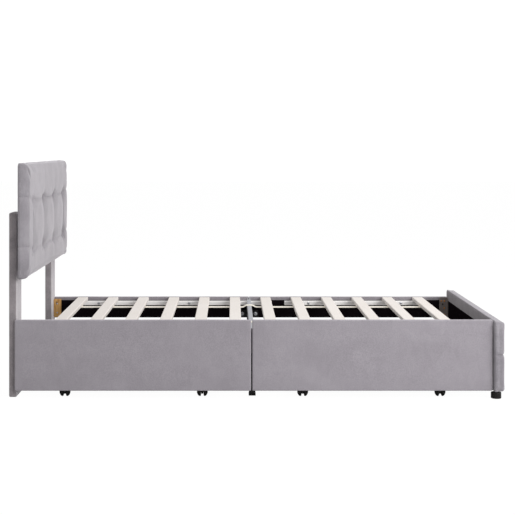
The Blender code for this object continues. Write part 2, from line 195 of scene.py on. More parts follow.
class ShaderGraph(NodeGraph):
    """The node tree of one Principled material, with a maker's shortcuts."""

    def __init__(self, name: str) -> None:
        """Start the material."""
        self.material = bpy.data.materials.new(name)
        super().__init__(self.material)
        self.shader = self.tree.nodes["Principled BSDF"]
        self.place = self.node("TexCoord", {}).outputs["Object"]

    def occlusion_shade(self, reach: float) -> Socket:
        """How open the piece's own surface is, by ambient occlusion, for painted shade: 0 deep in a crease, 1
        in the open.
        """
        return self.node("AmbientOcclusion", {"Distance": reach}, samples=8, only_local=True).outputs["AO"]

    def stretched(self, scale: Triple, turn: Triple = (0.0, 0.0, 0.0)) -> Socket:
        """Object coordinates, turned by radians and scaled by axis."""
        inputs = {"Scale": scale, "Rotation": turn, "Vector": self.place}
        return self.node("Mapping", inputs).outputs["Vector"]

    def noise(self, vector: object, scale: float, detail: float = 3.0, warp: float = 0.0) -> Socket:
        """A noise value between about 0.3 and 0.7, with roughly scale features per metre."""
        inputs = {"Vector": vector, "Scale": scale, "Detail": detail, "Distortion": warp}
        return self.node("TexNoise", inputs).outputs["Fac"]

    def wave(self, vector: object, scale: float, axis: str, warp: float = 0.0, rings: bool = False) -> Socket:
        """A wave value between 0 and 1.

        Args:
            vector: The coordinates to read.
            scale: The wave's scale.
            axis: The axis it runs along, X, Y or Z.
            warp: Distortion.
            rings: Whether the waves are rings round the axis.

        Returns:
            The value output.
        """
        way = {"wave_type": "RINGS", "rings_direction": axis} if rings else {"bands_direction": axis}
        inputs = {"Vector": vector, "Scale": scale, "Distortion": warp, "Detail": 2.0, "Detail Scale": 1.5}
        return self.node("TexWave", inputs, **way).outputs["Fac"]

    def cells(self, vector: object, scale: float) -> Socket:
        """Distance to the nearest of scattered points."""
        return self.node("TexVoronoi", {"Vector": vector, "Scale": scale}).outputs["Distance"]

    def span(self, value: object, low: float, high: float, start: float = 0.3, end: float = 0.7) -> Socket:
        """Map a value from start..end to low..high, clamped."""
        inputs = {"Value": value, "From Min": start, "From Max": end, "To Min": low, "To Max": high}
        return self.node("MapRange", inputs).outputs["Result"]

    def maths(self, operation: str, first: object, second: object) -> Socket:
        """One Math node's value."""
        return self.node("Math", {0: first, 1: second}, operation=operation).outputs[0]

    def mix(self, share: object, first: object, second: object, how: str = "MIX") -> Socket:
        """Blend two colours, from first at share 0 to second at share 1."""
        return self.node("Mix", {0: share, 6: first, 7: second}, data_type="RGBA", blend_type=how).outputs[2]

    def relief(self, height: object, distance: float, strength: float = 1.0, under: object = None) -> Socket:
        """A bump normal.

        Args:
            height: The height value.
            distance: The relief's depth in metres.
            strength: How much of it shows.
            under: A normal to build on.

        Returns:
            The normal output.
        """
        inputs = {"Distance": distance, "Strength": strength, "Height": height}
        if under is not None:
            inputs["Normal"] = under
        return self.node("Bump", inputs).outputs["Normal"]

    def dress(self, **values: object) -> Material:
        """Set or link the shader's inputs, named with _ for spaces, and give the finished material."""
        for name, value in values.items():
            self.join(value, self.shader.inputs[name.replace("_", " ")])
        return self.material


# --- finishes ------------------------------------------------------------------------------------


@dataclass(frozen=True)
class Velvet:
    """Short-pile velvet: brushed patches, fine pile, a soft sheen and painted shade in its creases."""

    name: str
    nap_up: Triple
    nap_down: Triple
    patch_scale: float = 4.5
    patch_share: float = 0.62
    mark_scale: float = 26.0
    pile_scale: float = 1500.0
    sheen: float = 0.32
    flecking: float = 0.62
    # Painted shade in creases: how dark it gets, and how far the occlusion looks.
    crease_shade: float = 0.22
    crease_shade_reach: float = 0.022

    def material(self) -> Material:
        """Build the material."""
        graph = ShaderGraph(self.name)
        patches = graph.noise(graph.stretched((1.0, 1.0, 1.6)), self.patch_scale, 3.0, 0.6)
        marks = graph.noise(graph.stretched((1.0, 1.0, 0.55), (0.2, 0.3, 0.1)), self.mark_scale, 4.0, 1.2)
        pile = graph.noise(graph.place, self.pile_scale, 2.0)
        flecks = graph.noise(graph.place, self.pile_scale / 5, 2.0)
        nap = graph.maths("ADD", graph.maths("MULTIPLY", patches, self.patch_share),
                          graph.maths("MULTIPLY", marks, 1.0 - self.patch_share))
        lie = graph.span(nap, 0.0, 1.0, 0.36, 0.64)
        brushed = graph.mix(lie, self.nap_down, self.nap_up)
        fleck = graph.span(flecks, 0.0, self.flecking)
        colour = graph.mix(fleck, brushed, graph.mix(0.5, brushed, self.nap_down, "MULTIPLY"))
        soft = graph.relief(marks, 0.0012, 0.35)
        normal = graph.relief(pile, 0.00035, 0.45, soft)
        # Painted shade: where ambient occlusion finds creases and hollows, the colour is darkened towards a
        # share of the dark nap colour.
        unshaded = graph.span(graph.occlusion_shade(self.crease_shade_reach), 0.0, 1.0, 0.45, 0.93)
        colour = graph.mix(unshaded, scaled(self.nap_down, self.crease_shade), colour)
        return graph.dress(Base_Color=colour, Roughness=graph.span(lie, 0.92, 0.80, 0.0, 1.0), Normal=normal,
                           Sheen_Weight=self.sheen, Sheen_Roughness=0.42, Sheen_Tint=(0.96, 0.93, 0.97),
                           Specular_IOR_Level=0.22)


@dataclass(frozen=True)
class Lining:
    """Thin black spun-bonded cloth, dimpled by its rollers, over board."""

    name: str
    colour: Triple
    dimples: float = 420.0

    def material(self) -> Material:
        """Build the material."""
        graph = ShaderGraph(self.name)
        dimples = graph.cells(graph.place, self.dimples)
        fibres = graph.noise(graph.stretched((1.0, 1.4, 0.8)), 900.0, 4.0, 1.5)
        creases = graph.noise(graph.stretched((0.8, 1.0, 2.0)), 9.0, 3.0, 1.0)
        colour = graph.mix(graph.span(fibres, 0.0, 0.8), self.colour, scaled(self.colour, 1.6))
        normal = graph.relief(dimples, 0.0003, 0.5, graph.relief(creases, 0.002, 0.35))
        return graph.dress(Base_Color=colour, Roughness=graph.span(fibres, 0.72, 0.9), Normal=normal,
                           Specular_IOR_Level=0.0)


@dataclass(frozen=True)
class PaintedTimber:
    """Painted softwood whose grain still shows through, with small rubbed scuffs."""

    name: str
    paint: Triple
    shadow: Triple
    grain: Triple = (34.0, 1.6, 34.0)
    gloss: float = 0.5

    def material(self) -> Material:
        """Build the material."""
        graph = ShaderGraph(self.name)
        along = graph.stretched(self.grain)
        fibres = graph.noise(along, 9.0, 5.0, 0.5)
        clouds = graph.noise(graph.place, 3.2, 3.0, 0.4)
        rings = graph.wave(graph.stretched(scaled(self.grain, 0.5)), 1.2, "X", 7.0)
        scuffs = graph.noise(graph.stretched((1.0, 0.4, 1.0)), 60.0, 5.0, 1.8)
        tone = graph.mix(graph.span(clouds, 0.0, 0.65), self.paint, self.shadow)
        tone = graph.mix(graph.span(fibres, 0.0, 0.4, 0.5, 0.75), tone, self.shadow)
        tone = graph.mix(graph.span(scuffs, 0.0, 0.35, 0.62, 0.72), tone, scaled(self.shadow, 0.82))
        normal = graph.relief(fibres, 0.0006, 0.3, graph.relief(rings, 0.0005, 0.14))
        gloss = graph.span(fibres, self.gloss - 0.06, self.gloss + 0.12)
        return graph.dress(Base_Color=tone, Roughness=gloss, Normal=normal, Specular_IOR_Level=0.4)


@dataclass(frozen=True)
class RawPine:
    """Sawn pine with growth rings, knots and a rough face."""

    name: str
    early: Triple
    late: Triple
    grain: Triple = (9.0, 9.0, 1.3)

    def material(self) -> Material:
        """Build the material."""
        graph = ShaderGraph(self.name)
        along = graph.stretched(self.grain)
        rings = graph.wave(along, 6.0, "X", 5.0, rings=True)
        fibres = graph.noise(graph.stretched((90.0, 90.0, 5.0)), 6.0, 5.0, 0.3)
        knots = graph.cells(graph.stretched((1.0, 1.0, 0.6)), 30.0)
        tone = graph.mix(graph.span(rings, 0.0, 0.8, 0.35, 0.9), self.early, self.late)
        tone = graph.mix(graph.span(fibres, 0.0, 0.45, 0.45, 0.7), tone, self.late)
        tone = graph.mix(graph.span(knots, 0.85, 0.0, 0.08, 0.2), tone, scaled(self.late, 0.35))
        normal = graph.relief(fibres, 0.0005, 0.5, graph.relief(rings, 0.0004, 0.3))
        return graph.dress(Base_Color=tone, Roughness=graph.span(fibres, 0.6, 0.8), Normal=normal,
                           Specular_IOR_Level=0.3)


@dataclass(frozen=True)
class Metal:
    """Coated or plated metal with a drawn grain, handling marks and dulled spots."""

    name: str
    colour: Triple
    metallic: float
    roughness: float
    grain: Triple = (2.0, 60.0, 60.0)
    wear: Triple = (0.75, 0.75, 0.74)

    def material(self) -> Material:
        """Build the material."""
        graph = ShaderGraph(self.name)
        drawn = graph.noise(graph.stretched(self.grain), 12.0, 4.0, 0.2)
        spots = graph.noise(graph.place, 85.0, 5.0, 0.9)
        scratches = graph.noise(graph.stretched((6.0, 200.0, 200.0), (0.3, 0.2, 0.6)), 4.0, 3.0, 0.4)
        tone = graph.mix(graph.span(spots, 0.0, 0.5), self.colour, scaled(self.colour, 0.78))
        tone = graph.mix(graph.span(scratches, 0.0, 0.4, 0.66, 0.74), tone, self.wear)
        normal = graph.relief(drawn, 0.0002, 0.25, graph.relief(spots, 0.0003, 0.2))
        roughness = graph.span(spots, self.roughness - 0.08, self.roughness + 0.1)
        return graph.dress(Base_Color=tone, Metallic=self.metallic, Roughness=roughness, Normal=normal)


@dataclass(frozen=True)
class MouldedPlastic:
    """Injection-moulded plastic with a fine spark grain and pale scuffs."""

    name: str
    colour: Triple
    roughness: float = 0.46
    scuff: Triple = (0.022, 0.020, 0.019)

    def material(self) -> Material:
        """Build the material."""
        graph = ShaderGraph(self.name)
        grain = graph.noise(graph.place, 1400.0, 2.0)
        flow = graph.noise(graph.place, 40.0, 4.0, 1.4)
        tone = graph.mix(graph.span(flow, 0.0, 0.55, 0.5, 0.75), self.colour, self.scuff)
        normal = graph.relief(grain, 0.00012, 0.5, graph.relief(flow, 0.0004, 0.12))
        roughness = graph.span(flow, self.roughness - 0.07, self.roughness + 0.12)
        return graph.dress(Base_Color=tone, Roughness=roughness, Normal=normal, Specular_IOR_Level=0.22)


@dataclass(frozen=True)
class Webbing:
    """Cream woven webbing: warp ribs along its length, crossed by the weft."""

    name: str
    yarn: Triple
    gap: Triple
    warp_scale: float = 160.0
    weft_scale: float = 210.0

    def material(self) -> Material:
        """Build the material."""
        graph = ShaderGraph(self.name)
        warp = graph.wave(graph.place, self.warp_scale, "Y", 0.3)
        weft = graph.wave(graph.place, self.weft_scale, "X", 0.3)
        weave = graph.maths("MULTIPLY", warp, weft)
        fuzz = graph.noise(graph.place, 700.0, 4.0)
        tone = graph.mix(graph.span(weave, 0.55, 0.0, 0.0, 0.5), self.yarn, self.gap)
        tone = graph.mix(graph.span(fuzz, 0.0, 0.3), tone, self.gap)
        normal = graph.relief(weave, 0.0005, 0.6, graph.relief(fuzz, 0.0003, 0.3))
        return graph.dress(Base_Color=tone, Roughness=0.88, Normal=normal, Sheen_Weight=0.15,
                           Specular_IOR_Level=0.2)


@dataclass(frozen=True)
class StudioWhite:
    """The seamless pale floor, with a hint of a contact shadow."""

    name: str
    colour: Triple
    glow: float = 1.04
    own_share: float = 0.94

    def material(self) -> Material:
        """Build the material: mostly its own white to the eye, plain matt where light bounces off it."""
        graph = ShaderGraph(self.name)
        made = graph.dress(Base_Color=self.colour, Roughness=0.9, Specular_IOR_Level=0.0)
        own = graph.node("Emission", {"Strength": self.glow}).outputs[0]
        graph.split_view(graph.shader.outputs[0], own, self.own_share, "Material Output")
        return made


Finish = Velvet | Lining | PaintedTimber | RawPine | Metal | MouldedPlastic | Webbing | StudioWhite

FACE_VELVET = Velvet("velvet_drawer_face", shade(162, 157, 163), shade(153, 148, 154), sheen=0.5)
BOARD_VELVET = Velvet("velvet_headboard", shade(152, 148, 153), shade(134, 130, 135),
                      mark_scale=34.0, sheen=0.7)
LEG_VELVET = Velvet("velvet_leg_edge", shade(164, 157, 160), shade(142, 136, 139), patch_scale=9.0)
# Painted highlight: a brighter copy of the leg velvet for the leg faces that look to +X, on top of its real
# sheen.
LEG_FACE_PAINTED_HIGHLIGHT = Velvet("velvet_leg_face_painted_highlight", shade(196, 192, 194), shade(182, 178, 181),
                         patch_scale=9.0, sheen=1.0)
FOOT_VELVET = Velvet("velvet_footboard", shade(152, 148, 153), shade(132, 128, 134),
                     patch_scale=7.0, sheen=0.45)
# Painted shade: a darker copy of the footboard velvet for the inner faces that look to -X.
FOOT_INNER_PAINTED_SHADE = Velvet("velvet_footboard_inner", shade(132, 126, 129), shade(114, 109, 112),
                          patch_scale=9.0)
RAIL_VELVET = Velvet("velvet_rail", shade(150, 145, 150), shade(134, 129, 134))
BUTTON_VELVET = Velvet("velvet_button", shade(150, 146, 152), shade(130, 126, 132),
                       patch_scale=30.0, sheen=0.6)
BLACK_LINING = Lining("black_lining", shade(17, 13, 16))
BOX_LINING = Lining("drawer_box_lining", shade(40, 37, 40), 380.0)
SLAT_PAINT = PaintedTimber("slat_paint", shade(230, 224, 219), shade(222, 215, 208))
LEDGER_PAINT = PaintedTimber("ledger_paint", shade(254, 251, 249), shade(238, 235, 234),
                             (1.6, 34.0, 34.0), 0.42)
PINE = RawPine("raw_pine", shade(201, 158, 98), shade(156, 108, 56))
SILVER_STEEL = Metal("silver_beam_steel", shade(186, 187, 192), 0.35, 0.42, (60.0, 2.0, 60.0))
BRACKET_STEEL = Metal("bracket_steel", shade(140, 131, 127), 0.35, 0.46)
BLACK_STEEL = Metal("black_tube_steel", shade(26, 26, 27), 0.3, 0.48, (60.0, 60.0, 2.0), (0.12, 0.12, 0.12))
ZINC = Metal("zinc_bolt", shade(205, 206, 210), 0.75, 0.3)
YELLOW_ZINC = Metal("yellow_zinc_screw", shade(205, 138, 62), 0.7, 0.34)
BLACK_PLASTIC = MouldedPlastic("black_plastic", shade(21, 19, 18))
WHEEL_PLASTIC = MouldedPlastic("wheel_tread", shade(18, 17, 17), 0.6)
HUB_PLASTIC = MouldedPlastic("wheel_hub", shade(28, 27, 27), 0.38)
CREAM_WEBBING = Webbing("cream_webbing", shade(244, 240, 230), shade(206, 196, 178))
FLOOR_WHITE = StudioWhite("studio_floor", (0.62, 0.62, 0.62))


class Wardrobe:
    """Makes each finish's material once and puts it on pieces."""

    def __init__(self) -> None:
        """Start with no material made."""
        self.made: dict[Finish, Material] = {}

    def material(self, finish: Finish) -> Material:
        """The finish's material, made on first use."""
        if finish not in self.made:
            self.made[finish] = finish.material()
        return self.made[finish]

    def dress(self, piece: Piece, finish: Finish) -> Piece:
        """Give a piece one finish.

        Args:
            piece: The piece.
            finish: Its finish.

        Returns:
            The same piece.
        """
        piece.data.materials.clear()
        piece.data.materials.append(self.material(finish))
        return piece


WARDROBE = Wardrobe()


# --- mesh helpers --------------------------------------------------------------------------------


def add_object(name: str, data: bpy.types.ID) -> Piece:
    """Put an object that shows the data into the scene."""
    made = bpy.data.objects.new(name, data)
    bpy.context.scene.collection.objects.link(made)
    return made


def new_piece(name: str, shape: Shape) -> Piece:
    """Turn points and faces into a bare piece."""
    mesh = bpy.data.meshes.new(name)
    mesh.from_pydata([tuple(map(float, p)) for p in shape[0]], [], shape[1])
    return add_object(name, mesh)


def place_piece(name: str, shape: Shape, finish: Finish, body: str = "frame", refine: int = 0,
                sharp: float = 180.0) -> Piece:
    """Turn points and faces into a shaded piece that rides on a body.

    Args:
        name: The piece's name.
        shape: Its points in the row frame, and its faces.
        finish: Its finish.
        body: The CAD body it rides on.
        refine: Subdivision levels.
        sharp: Edges steeper than this many degrees stay sharp.

    Returns:
        The piece.
    """
    piece = new_piece(name, shape)
    piece.data.validate()
    return finish_piece(piece, finish, body, refine, sharp)


def finish_piece(piece: Piece, finish: Finish, body: str, refine: int = 0,
                 sharp: float = 180.0) -> Piece:
    """Shade, dress and attach a piece whose mesh is final.

    Args:
        piece: The piece.
        finish: Its finish.
        body: The CAD body it rides on.
        refine: Subdivision levels.
        sharp: Edges steeper than this many degrees stay sharp.

    Returns:
        The same piece.
    """
    piece.data.shade_smooth()
    if sharp < 180.0:
        piece.data.set_sharp_from_angle(angle=math.radians(sharp))
    if refine:
        step = piece.modifiers.new("refine", "SUBSURF")
        step.levels = step.render_levels = refine
    WARDROBE.dress(piece, finish)
    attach(piece, body)
    return piece


def painted_light_by_face(piece: Piece, axis: int, sign: float, finish: Finish, least: float = 0.6,
                from_y: float = -math.inf) -> None:
    """Paint light and shade by face direction: the faces that look one way get their own brighter or darker
    copy of the finish.

    Args:
        piece: A piece that is dressed already.
        axis: 0, 1 or 2 for the axis they look along.
        sign: 1 or -1 for the way along it.
        finish: Their finish.
        least: The least share of the face's normal along that way.
        from_y: Faces whose middle is at a lower y keep their own.
    """
    piece.data.materials.append(WARDROBE.material(finish))
    for face in piece.data.polygons:
        if face.normal[axis] * sign > least and face.center[1] > from_y:
            face.material_index = len(piece.data.materials) - 1


def joined(shapes: list[Shape]) -> Shape:
    """Put several shapes into one.

    Args:
        shapes: The shapes.

    Returns:
        One shape with all their points and faces.
    """
    points, faces, start = [], [], 0
    for part_points, part_faces in shapes:
        points.append(part_points)
        faces.extend(tuple(start + i for i in face) for face in part_faces)
        start += len(part_points)
    return np.concatenate(points), faces


def distance(*offsets: np.ndarray | float) -> np.ndarray:
    """The length of several offsets together, where a small constant among them blunts the sharp middle."""
    return np.sqrt(sum(off ** 2 for off in offsets))


def fitting(name: str, shapes: list[Shape], finish: Finish, body: str = "frame") -> str:
    """Make one crisp-edged piece of hardware from its shapes, and give its name."""
    return place_piece(name, joined(shapes), finish, body, sharp=CRISP).name


def bolt_shapes(seats: list[Triple], axis: Triple, radius: float, height: float) -> list[Shape]:
    """Domed bolt heads, each with a washer and a driver recess.

    Args:
        seats: The points that the washers lie on.
        axis: The direction the heads face.
        radius: A head's radius.
        height: A head's height.

    Returns:
        One closed shape for each seat.
    """
    profile = [(share * radius, part * height) for share, part in BOLT_PROFILE]
    return [lathe(profile, seat, axis, SMALL_LATHE_STEPS) for seat in seats]


def stand_in(piece: Piece, node: str) -> str:
    """Let a padded piece stand for its CAD node, and give the piece's name."""
    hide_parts(node)
    return piece.name


def dress_nodes(nodes: list[str], finish: Finish) -> list[str]:
    """Give CAD nodes that stay shown their detailed finish, and give their names back."""
    for node in nodes:
        WARDROBE.dress(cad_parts[node], finish)
    return nodes


def stops(low: float, high: float, radius: float, spacing: float) -> list[float]:
    """Lattice places along one axis of a rounded block, closer together in its rounded ends.

    Args:
        low: The block's lower end.
        high: The block's upper end.
        radius: The edge radius.
        spacing: The greatest distance between flat places.

    Returns:
        The places in order.
    """
    turns = [math.tan(math.radians(a)) for a in (45, 33, 22, 11)] if radius > 0 else []
    count = max(1, math.ceil((high - low - 2 * radius) / spacing))
    flat = [low + radius + (high - low - 2 * radius) * i / count for i in range(count + 1)]
    start, end = [low + radius * (1 - t) for t in turns], [high - radius * (1 - t) for t in reversed(turns)]
    return start + flat + end


def soft_block(low: Triple, high: Triple, radius: float, spacing: float) -> Shape:
    """A block with round edges and corners, gridded finely enough to be shaped further.

    Args:
        low: Lower corner.
        high: Upper corner.
        radius: Edge radius.
        spacing: Grid spacing on the flats.

    Returns:
        The closed shape.
    """
    places = [stops(low[a], high[a], radius, spacing) for a in range(3)]
    last = [len(p) - 1 for p in places]
    index: dict[tuple[int, int, int], int] = {}
    points: list[Triple] = []
    faces: list[tuple[int, ...]] = []

    def corner(key: list[int]) -> int:
        """The index of a lattice point, made on first use."""
        spot = (key[0], key[1], key[2])
        if spot not in index:
            index[spot] = len(points)
            points.append((places[0][spot[0]], places[1][spot[1]], places[2][spot[2]]))
        return index[spot]

    for axis in range(3):
        across, up = (axis + 1) % 3, (axis + 2) % 3
        for end in (0, last[axis]):
            for i in range(last[across]):
                for j in range(last[up]):
                    ring = []
                    for di, dj in ((0, 0), (1, 0), (1, 1), (0, 1)):
                        key = [0, 0, 0]
                        key[axis], key[across], key[up] = end, i + di, j + dj
                        ring.append(corner(key))
                    faces.append(tuple(ring if end else reversed(ring)))
    spots = np.array(points)
    if radius > 0:
        core = np.clip(spots, np.array(low) + radius, np.array(high) - radius)
        away = spots - core
        spots = core + away * (radius / np.linalg.norm(away, axis=1))[:, None]
    return spots, faces


def flat_backed(low: Vector, high: Vector, radius: float, spacing: float) -> Shape:
    """A padded board's starting solid: round edges on the side that faces +X, and a flat, sharp-edged back.

    Args:
        low: Lower corner.
        high: Upper corner.
        radius: Radius of the round edges.
        spacing: Grid spacing on the flats.

    Returns:
        The closed shape.
    """
    behind = low.x - 2 * radius
    spots, faces = soft_block((behind, low.y, low.z), tuple(high), radius, spacing)
    spots[:, 0] = np.maximum(spots[:, 0], low.x)
    return spots, faces


def lathe(profile: Profile | list[tuple[float, float]], centre: Triple, axis: Triple,
          steps: int = LATHE_STEPS) -> Shape:
    """Turn a profile round an axis.

    Args:
        profile: (radius, height along the axis) pairs from one end to the other.
        centre: The point at height 0.
        axis: The axis direction.
        steps: Points round the axis.

    Returns:
        The closed shape.
    """
    up = Vector(axis).normalized()
    side = up.orthogonal().normalized()
    other = up.cross(side)
    points: list[Triple] = []
    rings: list[list[int]] = []
    for radius, height in profile:
        ring = []
        for step in range(1 if radius == 0 else steps):
            turn = 2 * HALF_TURN * step / steps
            spot = Vector(centre) + up * height + (side * math.cos(turn) + other * math.sin(turn)) * radius
            ring.append(len(points))
            points.append(tuple(spot))
        rings.append(ring)
    faces: list[tuple[int, ...]] = []
    for first, second in zip(rings, rings[1:]):
        for i in range(steps):
            j = (i + 1) % steps
            corners = [first[i % len(first)], first[j % len(first)],
                       second[j % len(second)], second[i % len(second)]]
            faces.append(tuple(dict.fromkeys(corners)))
    if len(rings[0]) > 1:
        faces.append(tuple(reversed(rings[0])))
    if len(rings[-1]) > 1:
        faces.append(tuple(rings[-1]))
    return np.array(points), faces


def eased(value: np.ndarray, start: float, end: float) -> np.ndarray:
    """Rise smoothly from 0 at start to 1 at end."""
    share = np.clip((value - start) / (end - start), 0.0, 1.0)
    return share * share * (3 - 2 * share)


def ripple(points: np.ndarray, size: float, phase: float) -> np.ndarray:
    """A slow, even unevenness between -1 and 1, the same on every run.

    Args:
        points: The points.
        size: The length of one wave in metres.
        phase: Shifts the pattern.

    Returns:
        One value per point.
    """
    k = 2 * HALF_TURN / size
    x, y, z = points.T
    return (np.sin(k * x + 1.3 * phase) * np.sin(0.8 * k * z + phase) + np.sin(0.7 * k * y + 2.1 * phase)
            * np.sin(0.6 * k * (x + z) - phase)) / 2


def points_of(piece: Piece) -> np.ndarray:
    """The piece's vertices as an array."""
    spots = np.zeros(len(piece.data.vertices) * 3)
    piece.data.vertices.foreach_get("co", spots)
    return spots.reshape(-1, 3)


def set_points(piece: Piece, points: np.ndarray) -> None:
    """Write the piece's vertices back."""
    piece.data.vertices.foreach_set("co", points.astype(np.float32).ravel())
    piece.data.update()


def baked(piece: Piece) -> None:
    """Apply every modifier of a piece to its mesh."""
    bpy.context.view_layer.update()
    graph = bpy.context.evaluated_depsgraph_get()
    final = bpy.data.meshes.new_from_object(piece.evaluated_get(graph))
    piece.modifiers.clear()
    piece.data = final


@dataclass
class PadMaker:
    """Fills a shape as upholstery: an even mesh, then cloth blown up gently over its fixed parts."""

    voxel: float = 0.006
    pressure: float = 4.0
    last_frame: int = 20
    ring_gap: float = 0.0018
    ring_snap: float = 0.0005

    def start(self, name: str, shape: Shape) -> Piece:
        """Make the even mesh.

        Args:
            name: The piece's name.
            shape: The closed starting shape.

        Returns:
            The piece, with no modifiers.
        """
        piece = new_piece(name, shape)
        remesh = piece.modifiers.new("even", "REMESH")
        remesh.mode = "VOXEL"
        remesh.voxel_size = self.voxel
        baked(piece)
        return piece

    def inflate(self, piece: Piece, held: np.ndarray, cap: float) -> None:
        """Run the cloth and keep what it moved, up to a cap.

        Args:
            piece: The piece with an even mesh.
            held: True for each vertex that is fixed.
            cap: The furthest that a point may move, in metres.
        """
        start = points_of(piece)
        group = piece.vertex_groups.new(name="held")
        group.add([int(i) for i in np.flatnonzero(held)], 1.0, "REPLACE")
        cloth = piece.modifiers.new("filling", "CLOTH")
        cloth.settings.vertex_group_mass = group.name
        cloth.settings.use_pressure = True
        cloth.settings.uniform_pressure_force = self.pressure
        cloth.settings.effector_weights.gravity = 0.0
        cloth.settings.quality = 4
        cloth.point_cache.frame_start, cloth.point_cache.frame_end = 1, self.last_frame
        scene = bpy.context.scene
        for number in range(1, self.last_frame + 1):
            scene.frame_set(number)
        baked(piece)
        scene.frame_set(1)
        moved = points_of(piece) - start
        length = np.linalg.norm(moved, axis=1)
        moved *= (np.minimum(length, cap) / np.maximum(length, 1e-9))[:, None]
        set_points(piece, start + moved)
        piece.vertex_groups.clear()

    def score(self, piece: Piece, heights: list[float]) -> None:
        """Cut three close rings of points into a pad at each height where a crease runs.

        Args:
            piece: The pad.
            heights: The creases' heights.
        """
        pad = bmesh.new()
        pad.from_mesh(piece.data)
        for height in heights:
            for off in (-self.ring_gap, 0.0, self.ring_gap):
                bmesh.ops.bisect_plane(pad, geom=[*pad.verts, *pad.edges, *pad.faces], dist=self.ring_snap,
                                       plane_co=(0.0, 0.0, height + off), plane_no=(0.0, 0.0, 1.0))
        pad.to_mesh(piece.data)
        pad.free()


PADS = PadMaker()


# --- the headboard -------------------------------------------------------------------------------


